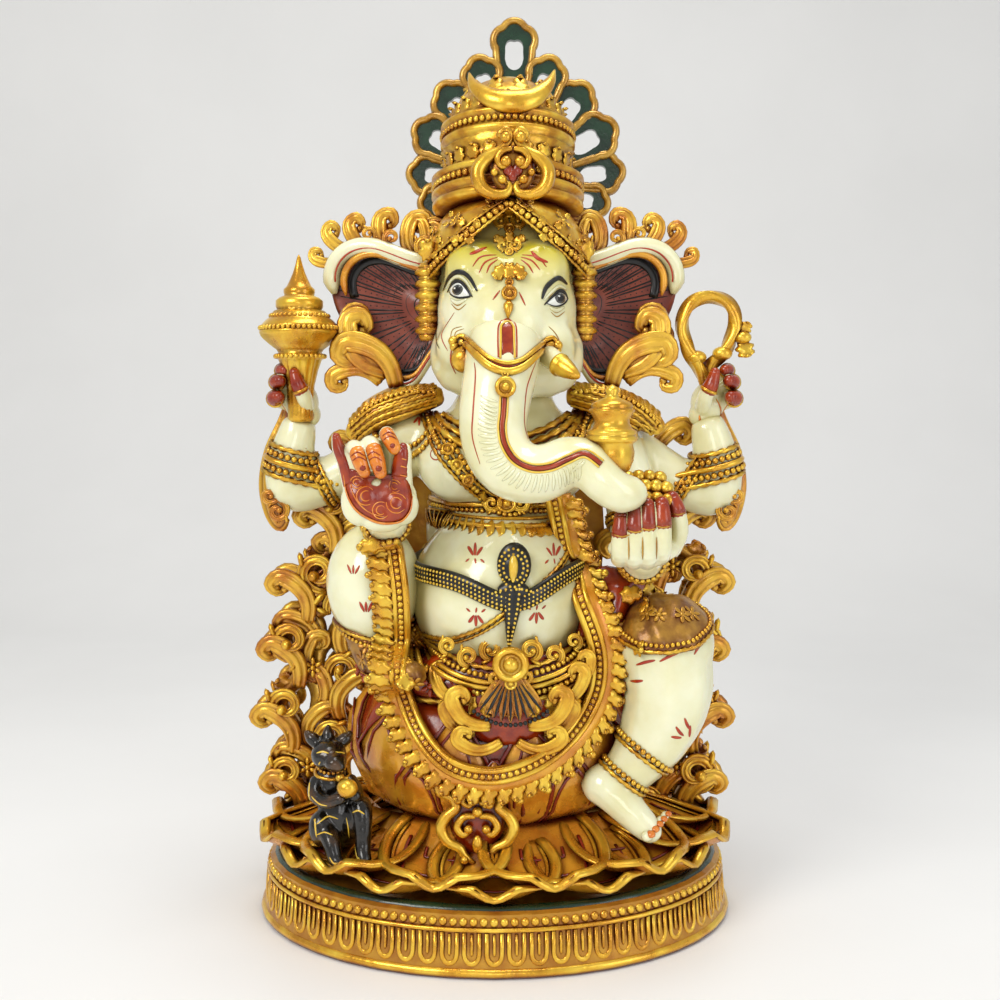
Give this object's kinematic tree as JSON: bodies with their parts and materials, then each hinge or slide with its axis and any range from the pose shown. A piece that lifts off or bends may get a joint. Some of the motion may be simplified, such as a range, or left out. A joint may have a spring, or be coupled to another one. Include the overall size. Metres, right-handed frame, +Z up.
{
  "type": "ganesha idol",
  "caption": "Seated elephant-headed deity idol on an oval lotus plinth, with crown, pierced crest, scrolled throne wings, garland and a small mouse.",
  "frame": {"origin": "centre of the oval plinth's flat underside", "axes": "+Z up, the figure faces -Y, +X towards the figure's left hand side"},
  "size_m": [0.2538, 0.1928, 0.4565],
  "materials": {
    "marble": "polished ivory marble under clear lacquer",
    "gold": "carved marble covered in burnished gold leaf, dark red-brown in the grooves",
    "ear_red": "marble painted dark red with fine black lines",
    "crest_green": "marble painted deep green with gold rims",
    "maroon": "marble painted maroon with gold edges",
    "lacquer": "black-brown gloss lacquer brushed with gold",
    "snake_black": "black gloss paint with yellow dots"
  },
  "bodies": {
    "root": {"belly_band": "gold", "blessing_arm": "marble", "blessing_bangle": "gold", "blessing_hand": "marble", "broken_tusk": "marble", "crescent": "gold", "crest": "crest_green", "crown_band": "gold", "crown_cap": "gold", "crown_dome": "gold", "crown_jewel": "gold", "folded_leg": "marble", "garland": "gold", "garland_pendant": "gold", "hanging_leg": "marble", "head": "marble", "left_ear": "ear_red", "left_ear_pendant": "gold", "left_shoulder_scarf": "gold", "loincloth": "gold", "lotus_petals_lower": "gold", "lotus_petals_upper": "gold", "lotus_seat": "gold", "mace": "gold", "mace_arm": "marble", "mace_arm_drape": "gold", "mace_cuff": "gold", "mace_hand": "marble", "mouse": "lacquer", "mouse_sweet": "gold", "necklace": "gold", "noose": "gold", "noose_arm": "marble", "noose_arm_drape": "gold", "noose_cuff": "gold", "noose_hand": "marble", "plinth": "gold", "pot": "gold", "pot_lid": "gold", "right_ear": "ear_red", "right_ear_pendant": "gold", "right_shoulder_scarf": "gold", "sash_fan": "gold", "seat_cushion": "maroon", "snake_belt": "snake_black", "sweets": "gold", "sweets_arm": "marble", "sweets_bangle": "gold", "sweets_hand": "marble", "throne_back_left": "gold", "throne_back_middle": "gold", "throne_back_right": "gold", "torso": "marble", "trunk": "marble", "trunk_band": "gold", "upper_anklet": "gold", "waist_belt": "gold", "whole_tusk": "marble"}
  },
  "joints": []
}
